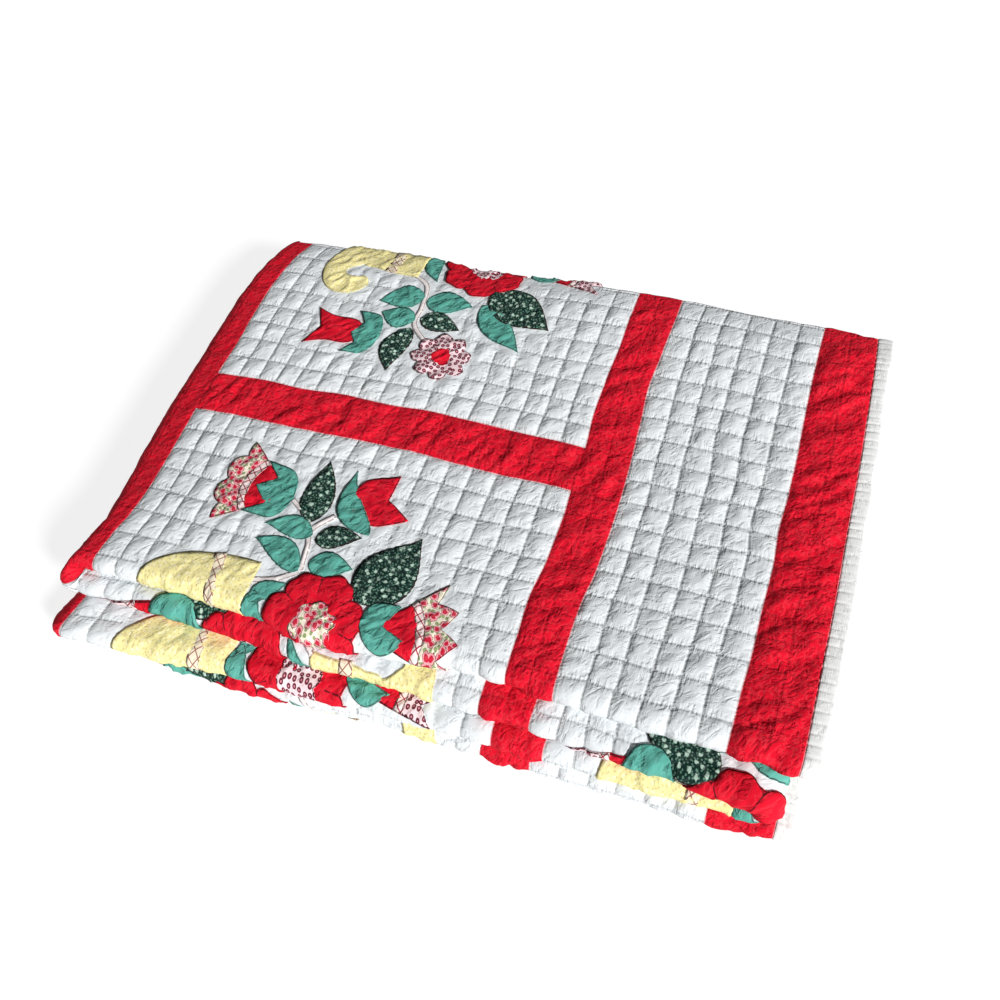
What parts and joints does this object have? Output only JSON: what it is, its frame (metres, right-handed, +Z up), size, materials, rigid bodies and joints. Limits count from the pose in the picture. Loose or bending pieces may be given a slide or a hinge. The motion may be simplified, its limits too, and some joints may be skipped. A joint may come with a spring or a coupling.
{
  "type": "folded applique quilt",
  "caption": "Folded bed quilt with white quilted blocks, red sashing, applique flowers and leaves, and a white bound edge, lying in a low stack of layers.",
  "frame": {"origin": "under the middle of the folded stack, on the surface that it lies on", "axes": "+X along the long side of the stack, towards the free bound ends; -Y towards the front, where the rounded folds show; +Z up"},
  "size_m": [0.7188, 0.536, 0.0937],
  "materials": {
    "quilted_cotton": "matt washed cotton, quilted",
    "binding_cotton": "matt washed cotton"
  },
  "bodies": {
    "root": {"quilt": "quilted_cotton", "binding_upper_end": "binding_cotton", "binding_lower_end": "binding_cotton", "binding_outer_side": "binding_cotton", "binding_inner_side": "binding_cotton"}
  },
  "joints": []
}
